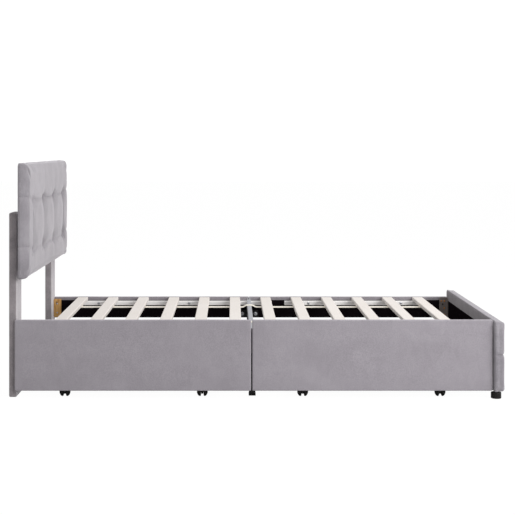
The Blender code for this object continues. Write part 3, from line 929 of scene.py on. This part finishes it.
@dataclass
class Headboard:
    """The button-tufted panel and its two wrapped leg boards.

    The tufts sit at every crossing of columns and rows. Folds run down the columns, and a crease runs out
    from each row to the panel's ends.
    """

    cleat_depth: float = 0.0132
    cleat_half_width: float = 0.0425
    cleat_margin: float = 0.030
    cleat_radius: float = 0.0015
    cleat_overlap: float = 0.002
    edge_radius: float = 0.012
    end_radius: float = 0.030
    end_fall: float = 0.9
    start_crown: float = 0.005
    grid: float = 0.012
    face_start: float = 0.012
    backing: float = 0.010
    columns: tuple[float, ...] = (-0.432, -0.144, 0.144, 0.432)
    rows: tuple[float, float] = (0.616, 0.823)
    row_blend: tuple[float, float] = (0.01, 0.03)
    row_fade: float = 0.02
    tuft_depth: float = 0.026
    tuft_reach: float = 0.015
    tuft_blunt: float = 0.0015
    tuft_hold: float = 0.012
    fold_depth: float = 0.0017
    fold_reach: float = 0.014
    fold_blunt: float = 0.002
    fold_wander: float = 0.004
    fold_outside: float = 0.4
    fold_fade: float = 0.16
    wander_rate: float = 34.0
    column_pull: tuple[float, ...] = (0.4, 1.0, 1.0, 1.0)
    swell: float = 0.005
    early_sink: float = 0.45
    late_sink: float = 0.7
    unevenness: float = 0.0008
    uneven_wave: float = 0.11
    crease_depth: float = 0.0055
    crease_reach: float = 0.0045
    crease_blunt: float = 0.0012
    crease_rise: float = 0.021
    crease_inside: float = 0.04
    side_crease: float = 0.0038
    side_band: float = 0.012
    edge_dip: float = 0.0035
    edge_dip_reach: float = 0.012
    edge_band: float = 0.014
    button_radius: float = 0.0115
    button_seat: float = 0.010
    button_sink: float = 0.0005
    leg_radius: float = 0.0055
    leg_grid: float = 0.010
    leg_unevenness: float = 0.0006
    leg_wave: float = 0.13
    leg_top: float = 0.02
    leg_top_fall: float = 0.0015

    def sink(self, spots: np.ndarray, low: Vector, high: Vector) -> np.ndarray:
        """How deep each front point is drawn in by tufts, folds and creases.

        Args:
            spots: The points.
            low: Lower corner of the panel.
            high: Upper corner of the panel.

        Returns:
            A depth in metres for each point.
        """
        y, z = spots[:, 1], spots[:, 2]
        depth = np.zeros(len(spots))
        lower, upper = self.rows
        back, on = self.row_blend
        between = eased(z, lower - back, lower + on) * (1 - eased(z, upper - on, upper + back))
        outside = np.maximum(eased(z, upper, upper + self.row_fade),
                             1 - eased(z, lower - self.row_fade, lower))
        to_edge = np.clip(np.minimum(high.z - z, z - low.z) / self.fold_fade, 0.0, 1.0)
        for number, column in enumerate(self.columns):
            wander = self.fold_wander * np.sin(self.wander_rate * z + 2.0 * number)
            fold = np.exp(-distance(y - column - wander, self.fold_blunt) / self.fold_reach)
            tight = self.column_pull[number]
            depth += tight * self.fold_depth * fold * (between + self.fold_outside * outside * to_edge)
            for row in self.rows:
                reach = distance(y - column, z - row, self.tuft_blunt)
                depth += tight * self.tuft_depth * np.exp(-reach / self.tuft_reach)
        outermost = abs(self.columns[0])
        beyond = eased(np.abs(y), outermost - back, outermost + on)
        rise = self.crease_rise * np.clip((np.abs(y) - outermost) / (high.y - outermost), 0.0, 1.0)
        share = self.crease_inside + (1 - self.crease_inside) * beyond
        for row in self.rows:
            off = distance(z - row - rise, self.crease_blunt)
            depth += self.crease_depth * np.exp(-off / self.crease_reach) * share
        return depth

    def side_creases(self, spots: np.ndarray, low: Vector, high: Vector) -> np.ndarray:
        """Draw the creases on round the panel's ends and edges.

        Args:
            spots: The points.
            low: Lower corner of the panel.
            high: Upper corner of the panel.

        Returns:
            The moved points.
        """
        moved = spots.copy()
        y, z = spots[:, 1], spots[:, 2]
        ends = eased(np.abs(y), high.y - self.side_band, high.y)
        for row in self.rows:
            pull = self.side_crease * np.exp(-np.abs(z - row - self.crease_rise) / self.crease_reach) * ends
            moved[:, 1] -= np.sign(y) * pull
        edge = np.maximum(eased(z, high.z - self.edge_band, high.z),
                          1 - eased(z, low.z, low.z + self.edge_band))
        middle = (low.z + high.z) / 2
        for column in self.columns:
            pull = self.edge_dip * np.exp(-np.abs(y - column) / self.edge_dip_reach) * edge
            moved[:, 2] -= np.sign(z - middle) * pull
        return moved

    def build_panel(self) -> list[str]:
        """Build the tufted pad, its buttons and the cleats behind it.

        Returns:
            The names of the pieces.
        """
        low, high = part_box("headboard_panel")
        low = Vector((low.x + self.cleat_depth, low.y, low.z))
        front = high.x - self.start_crown
        board = flat_backed(low, Vector((front, high.y, high.z)), self.edge_radius, self.grid)
        piece = PADS.start("headboard_pad", board)
        spots = points_of(piece)
        face = eased(spots[:, 0], low.x + self.face_start, front)
        into_end = np.clip(np.abs(spots[:, 1]) - (high.y - self.end_radius), 0.0, self.end_radius)
        falling = self.end_radius - np.sqrt(self.end_radius ** 2 - into_end ** 2)
        spots[:, 0] -= self.end_fall * falling * (spots[:, 0] - low.x) / (front - low.x)
        spots[:, 0] -= self.early_sink * self.sink(spots, low, high) * face
        set_points(piece, spots)
        tufts = np.zeros(len(spots), bool)
        for column in self.columns:
            for row in self.rows:
                tufts |= (np.hypot(spots[:, 1] - column, spots[:, 2] - row) < self.tuft_hold) & (face > 0.5)
        PADS.inflate(piece, tufts | (spots[:, 0] < low.x + self.backing), self.swell)
        PADS.score(piece, [row + self.crease_rise for row in self.rows])
        spots = points_of(piece)
        face = eased(spots[:, 0], low.x + self.face_start, front)
        spots[:, 0] -= self.late_sink * self.sink(spots, low, high) * face
        spots[:, 0] += self.unevenness * ripple(spots, self.uneven_wave, 1.0) * face
        set_points(piece, self.side_creases(spots, low, high))
        finish_piece(piece, BOARD_VELVET, "frame", 1)
        names = [stand_in(piece, "headboard_panel")]
        face_spots = spots[face > 0.6]
        for i, column in enumerate(self.columns):
            for j, row in enumerate(self.rows):
                near = np.hypot(face_spots[:, 1] - column, face_spots[:, 2] - row) < self.button_seat
                seat = float(face_spots[near, 0].min()) - self.button_sink
                names.append(self.build_button(f"headboard_button_{i + 1}_{j + 1}", (seat, column, row)))
        return names + [self.build_cleat(side, low) for side in Side]

    def build_button(self, name: str, seat: Triple) -> str:
        """Build one cloth-covered button.

        Args:
            name: The piece's name.
            seat: The point where its back meets the pad.

        Returns:
            The piece's name.
        """
        profile = [(share * self.button_radius, height) for share, height in BUTTON_PROFILE]
        shape = lathe(profile, seat, (1.0, 0.0, 0.0))
        return place_piece(name, shape, BUTTON_VELVET, refine=1).name

    def build_cleat(self, side: Side, panel_low: Vector) -> str:
        """Build one cleat between the panel and a leg board.

        Args:
            side: The side of the bed.
            panel_low: Lower corner of the panel, in front of the cleats.

        Returns:
            The piece's name.
        """
        low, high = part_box(f"headboard_leg_{side.word}")
        middle, half, margin = (low.y + high.y) / 2, self.cleat_half_width, self.cleat_margin
        shape = soft_block((high.x + CLEARANCE, middle - half, panel_low.z + margin),
                           (panel_low.x + self.cleat_overlap, middle + half, high.z - margin),
                           self.cleat_radius, 0.02)
        return place_piece(f"headboard_cleat_{side.word}", shape, BLACK_LINING).name

    def build_legs(self) -> list[str]:
        """Build the two wrapped leg boards.

        Returns:
            The names of the pieces.
        """
        names = []
        for side in Side:
            node = f"headboard_leg_{side.word}"
            low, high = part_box(node)
            spots, faces = soft_block(tuple(low), tuple(high), self.leg_radius, self.leg_grid)
            middle = (spots.max(0) + spots.min(0)) / 2
            uneven = self.leg_unevenness * ripple(spots, self.leg_wave, side.value)
            spots[:, 1] += uneven * np.sign(spots[:, 1] - middle[1])
            inward = eased(spots[:, 2], high.z - self.leg_top, high.z)
            spots[:, 2] -= self.leg_top_fall * inward * np.abs(spots[:, 1] - middle[1]) / (high.y - low.y)
            piece = place_piece(f"{node}_board", (spots, faces), LEG_VELVET, refine=1)
            # Painted highlight: the leg faces that look to +X get the brighter copy of the velvet.
            painted_light_by_face(piece, 0, 1.0, LEG_FACE_PAINTED_HIGHLIGHT)
            names.append(stand_in(piece, node))
        return names


# --- the footboard -------------------------------------------------------------------------------


@dataclass
class Footboard:
    """The padded footboard, its black inner lining and its two round feet."""

    edge_radius: float = 0.011
    grid: float = 0.014
    start_inset: float = 0.0015
    backing: float = 0.012
    swell: float = 0.004
    face_start: float = 0.02
    board_front: float = 0.004
    channel_z: float = 0.182
    channel_depth: float = 0.0085
    channel_reach: float = 0.0040
    channel_blunt: float = 0.001
    channel_end_share: float = 0.8
    back_band: float = 0.014
    end_band: float = 0.012
    board_thickness: float = 0.0095
    board_groove: float = 0.0012
    groove_reach: float = 0.0016
    unevenness: float = 0.0007
    uneven_wave: float = 0.12
    # The least share of a face's normal along -X that gets the painted shade.
    painted_shade_facing: float = 0.92
    lining_top: float = 0.2725
    lining_foot: float = 0.012
    lining_side: float = 0.026

    def build_pad(self) -> list[str]:
        """Build the padded board with its sewn channel.

        Returns:
            The names of the pieces.
        """
        low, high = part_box("footboard_panel")
        inset = self.start_inset
        shape = flat_backed(low, high - Vector((inset, inset, inset)), self.edge_radius, self.grid)
        piece = PADS.start("footboard_pad", shape)
        PADS.inflate(piece, points_of(piece)[:, 0] < low.x + self.backing, self.swell)
        PADS.score(piece, [self.channel_z])
        spots = points_of(piece)
        begin = low.x + self.face_start
        spots[:, 0] += (high.x - spots[:, 0].max()) * eased(spots[:, 0], begin, spots[:, 0].max())
        outer = eased(spots[:, 0], low.x + self.board_front, low.x + self.backing)
        off = distance(spots[:, 2] - self.channel_z, self.channel_blunt)
        pull = self.channel_depth * np.exp(-off / self.channel_reach)
        back = eased(spots[:, 0], high.x - self.back_band, high.x - self.board_front)
        spots[:, 0] -= pull * back
        half = (high.y - low.y) / 2
        ends = eased(np.abs(spots[:, 1] - (low.y + high.y) / 2), half - self.end_band, half)
        from_joint = np.abs(spots[:, 0] - low.x - self.board_thickness)
        groove = self.board_groove * np.exp(-from_joint / self.groove_reach)
        spots[:, 1] -= np.sign(spots[:, 1]) * (self.channel_end_share * pull * outer + groove) * ends
        spots[:, 0] += self.unevenness * ripple(spots, self.uneven_wave, 2.0) * outer
        spots[:, 0] = np.maximum(spots[:, 0], low.x)
        set_points(piece, spots)
        finish_piece(piece, FOOT_VELVET, "frame", 1)
        # Painted shade: the inner faces that look to -X get the darker copy of the velvet.
        painted_light_by_face(piece, 0, -1.0, FOOT_INNER_PAINTED_SHADE, self.painted_shade_facing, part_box("near_rail_foot")[0].y)
        return [stand_in(piece, "footboard_panel")]

    def build_lining(self) -> list[str]:
        """Build the black cloth stapled to the board's inner face.

        Returns:
            The names of the pieces.
        """
        low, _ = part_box("footboard_panel")
        back = low.x - LINING_GAP
        width = (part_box("far_rail_foot")[1].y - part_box("near_rail_foot")[0].y) - 2 * self.lining_side
        height = self.lining_top - low.z - self.lining_foot
        shape = soft_block((back - LINING_THICKNESS, -width / 2, self.lining_top - height),
                           (back, width / 2, self.lining_top), 0.0, LINING_GRID)
        piece = place_piece("footboard_lining", shape, BLACK_LINING, sharp=30.0)
        return [piece.name]

    def dress_feet(self) -> list[str]:
        """Dress the two round feet that come from CAD."""
        return dress_nodes([f"footboard_foot_{side.word}" for side in Side], BLACK_PLASTIC)


# --- rails, ledgers, corners and the centre beam --------------------------------------------------


@dataclass
class SideRails:
    """The two-piece wrapped side rails with their linings, ledgers and ledger bolts."""

    rail_radius: float = 0.0045
    grid: float = 0.016
    unevenness: float = 0.0004
    uneven_wave: float = 0.21
    top_band: float = 0.02
    lining_top: float = 0.2725
    lining_margin: float = 0.002
    bolt_radius: float = 0.0055
    bolt_height: float = 0.0036
    bolt_z: float = 0.2600
    bolt_places: tuple[float, ...] = (-0.780, -0.321, 0.284, 0.753)

    def build_rails(self) -> list[str]:
        """Build each half rail and the lining on its inner face.

        Returns:
            The names of the pieces.
        """
        names = []
        for side in Side:
            for half in ("head", "foot"):
                node = f"{side.word}_rail_{half}"
                low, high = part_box(node)
                spots, faces = soft_block(tuple(low), tuple(high), self.rail_radius, self.grid)
                uneven = self.unevenness * ripple(spots, self.uneven_wave, 1.7)
                spots[:, 2] += uneven * eased(spots[:, 2], high.z - self.top_band, high.z)
                piece = place_piece(f"{node}_wrapped", (spots, faces), RAIL_VELVET, refine=1)
                names.append(stand_in(piece, node))
                faces_y = sorted(side.inner(low, high) - side.value * off
                                 for off in (LINING_GAP, LINING_GAP + LINING_THICKNESS))
                margin = self.lining_margin
                shape = soft_block((low.x + margin, faces_y[0], low.z + margin),
                                   (high.x - margin, faces_y[1], self.lining_top), 0.0, LINING_GRID)
                lining = place_piece(f"{node}_lining", shape, BLACK_LINING, sharp=30.0)
                names.append(lining.name)
        return names

    def build_ledgers(self) -> list[str]:
        """Dress the ledgers and add the bolts that hold them.

        Returns:
            The names of the pieces.
        """
        names = dress_nodes([f"{side.word}_ledger_{half}" for side in Side for half in ("head", "foot")],
                            LEDGER_PAINT)
        for side in Side:
            face = side.inner(*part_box(f"{side.word}_ledger_head"))
            seats = [(x, face, self.bolt_z) for x in self.bolt_places]
            bolts = bolt_shapes(seats, side.inward, self.bolt_radius, self.bolt_height)
            names.append(fitting(f"{side.word}_ledger_bolts", bolts, ZINC))
        return names


@dataclass
class Corners:
    """Pine blocks at the head corners and screwed steel brackets at the foot corners.

    The screw and hole places are x from the bracket's end, then z.
    """

    screw_radius: float = 0.0034
    screw_height: float = 0.0022
    leaf: float = 0.004
    screw_places: tuple[tuple[float, float], ...] = ((0.010, 0.268), (0.026, 0.268), (0.026, 0.232),
                                                     (0.010, 0.204), (0.026, 0.198))
    hole_place: tuple[float, float] = (0.017, 0.252)
    block_screw_z: tuple[float, float] = (0.212, 0.257)

    def build(self) -> list[str]:
        """Dress the blocks and brackets and drive their screws.

        Returns:
            The names of the pieces.
        """
        names = dress_nodes([f"corner_block_{side.word}" for side in Side], PINE)
        names += dress_nodes([f"corner_bracket_{side.word}" for side in Side], BRACKET_STEEL)
        for side in Side:
            bracket, block = f"corner_bracket_{side.word}", f"corner_block_{side.word}"
            low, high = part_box(bracket)
            leaf = high.y - self.leaf if side is Side.FAR else low.y + self.leaf
            seats = [(low.x + x, leaf, z) for x, z in self.screw_places]
            screws = bolt_shapes(seats, side.inward, self.screw_radius, self.screw_height)
            names.append(fitting(f"{bracket}_screws", screws, YELLOW_ZINC))
            seat = (low.x + self.hole_place[0], leaf, self.hole_place[1])
            hole = lathe(HOLE_PROFILE, seat, side.inward, SMALL_LATHE_STEPS)
            names.append(fitting(f"{bracket}_hole", [hole], BLACK_STEEL))
            low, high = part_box(block)
            seats = [((low.x + high.x) / 2, side.inner(low, high), z) for z in self.block_screw_z]
            screws = bolt_shapes(seats, side.inward, self.screw_radius, self.screw_height)
            names.append(fitting(f"{block}_screws", screws, ZINC))
        return names


@dataclass
class CentreBeam:
    """The cross beam with its black end plates, bolts, upright clips, legs and leg glides."""

    width: float = 0.020
    height: float = 0.040
    edge_radius: float = 0.0018
    plate_thickness: float = 0.0025
    plate_height: float = 0.036
    sheet_radius: float = 0.0008
    hanger_half_width: float = 0.008
    hanger_foot: float = 0.014
    hanger_overlap: float = 0.004
    bolt_radius: float = 0.0078
    bolt_height: float = 0.0055
    bolt_offset: float = 0.0338
    bolt_z: float = 0.2038
    clip_half_width: float = 0.0072
    clip_thickness: float = 0.0022
    clip_top: float = 0.2845
    clip_bottom: float = 0.2705
    rivet_drop: float = 0.0055
    rivet_radius: float = 0.0026
    rivet_height: float = 0.0012
    glide_height: float = 0.011
    glide_lip: float = 0.0012
    glide_radius: float = 0.0011

    def build(self) -> list[str]:
        """Build the tube and its fittings, and dress its legs.

        Returns:
            The names of the pieces.
        """
        low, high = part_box("centre_beam")
        tube_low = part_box("near_ledger_head")[1].y + CLEARANCE
        middle = (low.x + high.x) / 2
        half = self.width / 2
        shape = soft_block((middle - half, tube_low, high.z - self.height),
                           (middle + half, -tube_low, high.z), self.edge_radius, 0.03)
        tube = place_piece("centre_beam_tube", shape, SILVER_STEEL)
        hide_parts("centre_beam")
        names = [tube.name] + dress_nodes(["centre_leg_near", "centre_leg_far"], BLACK_STEEL)
        for side in Side:
            names += self.build_end(side, low, high, abs(tube_low))
            leg_low, leg_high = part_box(f"centre_leg_{side.word}")
            lip = self.glide_lip
            glide = soft_block((leg_low.x - lip, leg_low.y - lip, 0.0),
                               (leg_high.x + lip, leg_high.y + lip, self.glide_height),
                               self.glide_radius, 0.01)
            name = f"centre_leg_{side.word}_glide"
            names.append(place_piece(name, glide, BLACK_PLASTIC, refine=1).name)
        return names

    def build_end(self, side: Side, low: Vector, high: Vector, tube_end: float) -> list[str]:
        """Build the plate, hanger, bolts and clip at one end.

        Args:
            side: The side of the bed.
            low: Lower corner of the CAD beam.
            high: Upper corner of the CAD beam.
            tube_end: How far the tube reaches from the middle of the bed.

        Returns:
            The names of the pieces.
        """
        middle = (low.x + high.x) / 2
        wall = low.y if side is Side.NEAR else high.y
        face = wall - side.value * self.plate_thickness
        clip_face = wall - side.value * self.clip_thickness
        ending = f"centre_beam_{side.word}"

        def flat(part: str, half: float, ys: tuple[float, float], zs: tuple[float, float], finish: Finish,
                 grid: float) -> str:
            """Build one piece of bent sheet, half wide to each side, and give its name."""
            shape = soft_block((middle - half, min(ys), zs[0]), (middle + half, max(ys), zs[1]),
                               self.sheet_radius, grid)
            return place_piece(f"{ending}_{part}", shape, finish).name

        hanger_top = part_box("near_ledger_head")[0].z - CLEARANCE
        names = [flat("plate", (high.x - low.x) / 2, (wall, face), (low.z, low.z + self.plate_height),
                      BLACK_STEEL, 0.02),
                 flat("hanger", self.hanger_half_width, (face, side.value * (tube_end - self.hanger_overlap)),
                      (low.z + self.hanger_foot, hanger_top), BLACK_STEEL, 0.02)]
        seats = [(middle + off, face, self.bolt_z) for off in (-self.bolt_offset, self.bolt_offset)]
        bolts = bolt_shapes(seats, side.inward, self.bolt_radius, self.bolt_height)
        names.append(fitting(f"{ending}_bolts", bolts, ZINC))
        names.append(flat("clip", self.clip_half_width, (wall, clip_face), (self.clip_bottom, self.clip_top),
                          SILVER_STEEL, 0.006))
        seats = [(middle, clip_face, self.clip_top - self.rivet_drop)]
        rivet = bolt_shapes(seats, side.inward, self.rivet_radius, self.rivet_height)
        return names + [fitting(f"{ending}_clip_rivet", rivet, BLACK_STEEL)]


# --- slats and webbing ---------------------------------------------------------------------------


@dataclass
class Deck:
    """The painted slats and the two webbing straps that space them."""

    strap_width: float = 0.045
    strap_thickness: float = 0.0014
    strap_y: float = 0.267
    strap_top: float = 0.2697
    over_beam: float = 0.2790
    beam_half: float = 0.011
    ramp: float = 0.024
    end_margin: float = 0.004
    step: float = 0.012
    selvedge: float = 0.0004
    selvedge_band: tuple[float, float] = (0.003, 0.005)

    def build(self, slats: list[str]) -> list[str]:
        """Dress the slats and lay both straps.

        Args:
            slats: The slat nodes in order.

        Returns:
            The names of the pieces.
        """
        names = dress_nodes(slats, SLAT_PAINT)
        start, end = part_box(slats[0])[0].x + self.end_margin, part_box(slats[-1])[1].x - self.end_margin
        middle = (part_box("centre_beam")[0].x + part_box("centre_beam")[1].x) / 2
        half, top = self.beam_half, self.strap_top
        knots = [(start, top), (middle - half - self.ramp, top), (middle - half, self.over_beam),
                 (middle + half, self.over_beam), (middle + half + self.ramp, top), (end, top)]
        for side in Side:
            piece = self.build_strap(f"webbing_strap_{side.word}", knots, side.value * self.strap_y)
            if side is Side.FAR:
                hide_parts("slat_strap")
            names.append(piece.name)
        return names

    def build_strap(self, name: str, knots: list[tuple[float, float]], y: float) -> Piece:
        """Build one strap with thicker selvedges along its knots.

        Args:
            name: The piece's name.
            knots: (x, top z) places along the bed.
            y: The strap's middle.

        Returns:
            The piece.
        """
        line: list[tuple[float, float]] = []
        for (x0, z0), (x1, z1) in zip(knots, knots[1:]):
            count = max(4, round((x1 - x0) / self.step))
            for i in range(count):
                share = i / count
                soft = share * share * (3 - 2 * share)
                line.append((x0 + (x1 - x0) * share, z0 + (z1 - z0) * soft))
        line.append(knots[-1])
        half, rib = self.strap_width / 2, self.selvedge
        edge, inner = self.selvedge_band
        across = [(-half, 0.0), (-half + edge, 0.0), (-half + inner, -rib), (0.0, -rib), (half - inner, -rib),
                  (half - edge, 0.0), (half, 0.0)]
        section = across + [(v, -self.strap_thickness) for v, _ in reversed(across)]
        points = [(x, y + v, z + w) for x, z in line for v, w in section]
        n, last = len(section), len(line) - 1
        faces = [(i * n + j, i * n + (j + 1) % n, (i + 1) * n + (j + 1) % n, (i + 1) * n + j)
                 for i in range(last) for j in range(n)]
        faces += [tuple(reversed(range(n))), tuple(range(last * n, (last + 1) * n))]
        return place_piece(name, (np.array(points), faces), CREAM_WEBBING, sharp=40.0)


# --- drawers and casters -------------------------------------------------------------------------


@dataclass
class Caster:
    """One twin-wheel caster: dressed housing and wheels, hub caps and a screwed top plate."""

    plate_radius: float = 0.0190
    plate_hole: float = 0.0105
    plate_low: float = 0.0474
    plate_high: float = 0.0499
    plate_bevel: float = 0.0006
    screw_radius: float = 0.0024
    screw_height: float = 0.0014
    hub_radius: float = 0.0055
    trail: float = 0.012

    def build(self, name: str, drawer: str) -> list[str]:
        """Dress one caster and add its fittings.

        Args:
            name: The caster's name, which its nodes and bodies start with.
            drawer: The body of its drawer.

        Returns:
            The names of the pieces.
        """
        names = dress_nodes([f"{name}_housing"], BLACK_PLASTIC)
        names += dress_nodes([f"{name}_wheels"], WHEEL_PLASTIC)
        low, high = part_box(f"{name}_wheels")
        middle = (low + high) / 2
        profile = [(share * self.hub_radius, height) for share, height in HUB_PROFILE]
        hubs = [lathe(profile, (face, middle.y, middle.z), (way, 0.0, 0.0), SMALL_LATHE_STEPS)
                for way, face in ((-1.0, low.x), (1.0, high.x))]
        names.append(fitting(f"{name}_hub_caps", hubs, HUB_PLASTIC, f"{name}_wheel_pair"))
        stem = (middle.x, middle.y + self.trail)
        names.append(self.build_plate(f"{name}_plate", stem, drawer))
        reach = (self.plate_radius + self.plate_hole) / 2
        turns = [math.radians(45 + 90 * quarter) for quarter in range(4)]
        seats = [(stem[0] + reach * math.cos(turn), stem[1] + reach * math.sin(turn), self.plate_low)
                 for turn in turns]
        screws = bolt_shapes(seats, (0.0, 0.0, -1.0), self.screw_radius, self.screw_height)
        return names + [fitting(f"{name}_screws", screws, ZINC, drawer)]

    def build_plate(self, name: str, stem: tuple[float, float], drawer: str) -> str:
        """Build the round steel plate that the stem turns in.

        Args:
            name: The piece's name.
            stem: The stem's place, x and y.
            drawer: The body it is screwed to.

        Returns:
            The piece's name.
        """
        inner, outer, low, high = self.plate_hole, self.plate_radius, self.plate_low, self.plate_high
        steps = LATHE_STEPS
        ring = [(inner, low), (outer - self.plate_bevel, low), (outer, low + self.plate_bevel), (outer, high),
                (inner, high)]
        turns = [2 * HALF_TURN * step / steps for step in range(steps)]
        points = [(stem[0] + radius * math.cos(turn), stem[1] + radius * math.sin(turn), z)
                  for radius, z in ring for turn in turns]
        faces: list[tuple[int, ...]] = []
        for i in range(len(ring)):
            j = (i + 1) % len(ring)
            for step in range(steps):
                after = (step + 1) % steps
                faces.append((i * steps + step, j * steps + step, j * steps + after, i * steps + after))
        return fitting(name, [(np.array(points), faces)], BLACK_STEEL, drawer)


@dataclass
class Drawer:
    """One drawer: wrapped face, lined box and four casters."""

    half: str
    phase: float
    face_radius: float = 0.005
    face_crown: float = 0.0012
    crown_run: float = 0.05
    front_band: float = 0.006
    unevenness: float = 0.0007
    uneven_wave: float = 0.34
    top_band: float = 0.008
    top_unevenness: float = 0.0005
    top_wave: float = 0.5
    grid: float = 0.012
    board_radius: float = 0.0022
    board_grid: float = 0.02

    def build(self) -> list[str]:
        """Build the face, dress the box and fit the casters.

        Returns:
            The names of the pieces.
        """
        body = f"drawer_{self.half}"
        names = [self.build_face(body)] + self.build_box(body)
        for end in ("front", "rear"):
            for hand in ("left", "right"):
                names += Caster().build(f"{body}_caster_{end}_{hand}", body)
        return names

    def build_face(self, body: str) -> str:
        """Build the velvet-wrapped face board.

        Args:
            body: The drawer's body.

        Returns:
            The piece's name.
        """
        node = f"{body}_face"
        low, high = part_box(node)
        spots, faces = soft_block(tuple(low), tuple(high), self.face_radius, self.grid)
        share_x = (spots[:, 0] - low.x) / (high.x - low.x)
        share_z = (spots[:, 2] - low.z) / (high.z - low.z)
        to_edge = np.minimum(np.minimum(share_x, 1 - share_x) * (high.x - low.x),
                             np.minimum(share_z, 1 - share_z) * (high.z - low.z))
        swell = np.clip(to_edge / self.crown_run, 0.0, 1.0)
        front = 1 - eased(spots[:, 1], low.y, low.y + self.front_band)
        uneven = self.unevenness * ripple(spots, self.uneven_wave, self.phase) * swell
        spots[:, 1] -= front * (self.face_crown * swell + uneven)
        top = eased(spots[:, 2], high.z - self.top_band, high.z)
        spots[:, 2] += self.top_unevenness * ripple(spots, self.top_wave, self.phase) * top
        piece = place_piece(f"{node}_wrapped", (spots, faces), FACE_VELVET, body, 1)
        return stand_in(piece, node)

    def build_box(self, body: str) -> list[str]:
        """Build the lined boards of the box, with softly rolled edges.

        Args:
            body: The drawer's body.

        Returns:
            The names of the pieces.
        """
        names = []
        for board in ("side_left", "side_right", "back", "bottom"):
            node = f"{body}_{board}"
            low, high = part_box(node)
            shape = soft_block(tuple(low), tuple(high), self.board_radius, self.board_grid)
            piece = place_piece(f"{node}_lined", shape, BOX_LINING, body, 1)
            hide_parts(node)
            names.append(piece.name)
        return names


# --- the studio ----------------------------------------------------------------------------------


@dataclass
class Studio:
    """Seamless white surroundings, soft lights and the camera."""

    lens: float = 79.36
    eye: Triple = (-0.10335, -5.2896, 1.0495)
    shift: tuple[float, float] = (0.0495, -0.2136)
    sensor: float = 36.0
    world_strength: float = 0.50
    backdrop_strength: float = 1.05
    floor_size: float = 60.0

    def build(self) -> None:
        """Build the floor, the lights, the world and the camera."""
        self.build_floor()
        self.build_world()
        self.build_light("key", (4.4, -2.6, 2.8), (0.0, 0.0, 0.4), 2.8, 200.0)
        self.build_light("top", (0.3, 0.3, 4.4), (0.0, 0.0, 0.2), 3.6, 80.0)
        self.build_light("front", (2.6, -5.6, 1.9), (0.6, -0.5, 0.2), 2.4, 86.0)
        self.build_camera()
        bpy.context.scene.view_settings.view_transform = "Standard"

    def build_floor(self) -> None:
        """Lay the pale floor."""
        half = self.floor_size / 2
        corners = np.array([(-half, -half, 0.0), (half, -half, 0.0), (half, half, 0.0), (-half, half, 0.0)])
        floor = new_piece("studio_floor", (corners, [(0, 1, 2, 3)]))
        WARDROBE.dress(floor, FLOOR_WHITE)

    def build_world(self) -> None:
        """Light the scene evenly, in front of a pure white backdrop."""
        world = bpy.data.worlds.new("studio")
        bpy.context.scene.world = world
        graph = NodeGraph(world)
        soft = graph.tree.nodes["Background"]
        graph.join(WHITE, soft.inputs["Color"])
        graph.join(self.world_strength, soft.inputs["Strength"])
        white = graph.node("Background", {"Color": WHITE, "Strength": self.backdrop_strength})
        graph.split_view(soft.outputs[0], white.outputs[0], 1.0, "World Output")

    def build_light(self, name: str, place: Triple, aim: Triple, size: float, power: float) -> None:
        """Hang one square softbox.

        Args:
            name: The light's name.
            place: Where it hangs.
            aim: The point it faces.
            size: Its side.
            power: Its power in watts.
        """
        data = bpy.data.lights.new(name, "AREA")
        data.shape = "SQUARE"
        data.size = size
        data.energy = power
        lamp = add_object(name, data)
        lamp.location = place
        lamp.rotation_euler = (Vector(aim) - Vector(place)).to_track_quat("-Z", "Y").to_euler()

    def build_camera(self) -> None:
        """Set the level camera with its lens shifted to frame the bed."""
        data = bpy.data.cameras.new("camera")
        data.lens = self.lens
        data.sensor_width = self.sensor
        data.shift_x, data.shift_y = self.shift
        camera = add_object("camera", data)
        camera.location = self.eye
        camera.rotation_euler = (HALF_TURN / 2, 0.0, 0.0)
        bpy.context.scene.camera = camera


# --- making the bed ------------------------------------------------------------------------------


def main() -> None:
    """Build every sub-assembly in order and report each one's pieces."""
    logging.basicConfig(level=logging.INFO, format="%(name)s: %(message)s")
    slats = sorted(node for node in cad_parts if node.startswith("slat_") and node != "slat_strap")
    headboard, footboard, rails = Headboard(), Footboard(), SideRails()
    steps: list[tuple[str, Callable[[], list[str]]]] = [
        ("headboard panel", headboard.build_panel),
        ("headboard legs", headboard.build_legs),
        ("footboard pad", footboard.build_pad),
        ("footboard lining", footboard.build_lining),
        ("footboard feet", footboard.dress_feet),
        ("side rails", rails.build_rails),
        ("ledgers", rails.build_ledgers),
        ("corners", Corners().build),
        ("centre beam", CentreBeam().build),
        ("deck", lambda: Deck().build(slats)),
        ("head drawer", Drawer("head", 1.0).build),
        ("foot drawer", Drawer("foot", 2.4).build),
    ]
    for title, build in steps:
        for name in build():
            LOG.info("%s: %s", title, name)
    Studio().build()


if __name__ == "__main__":
    main()
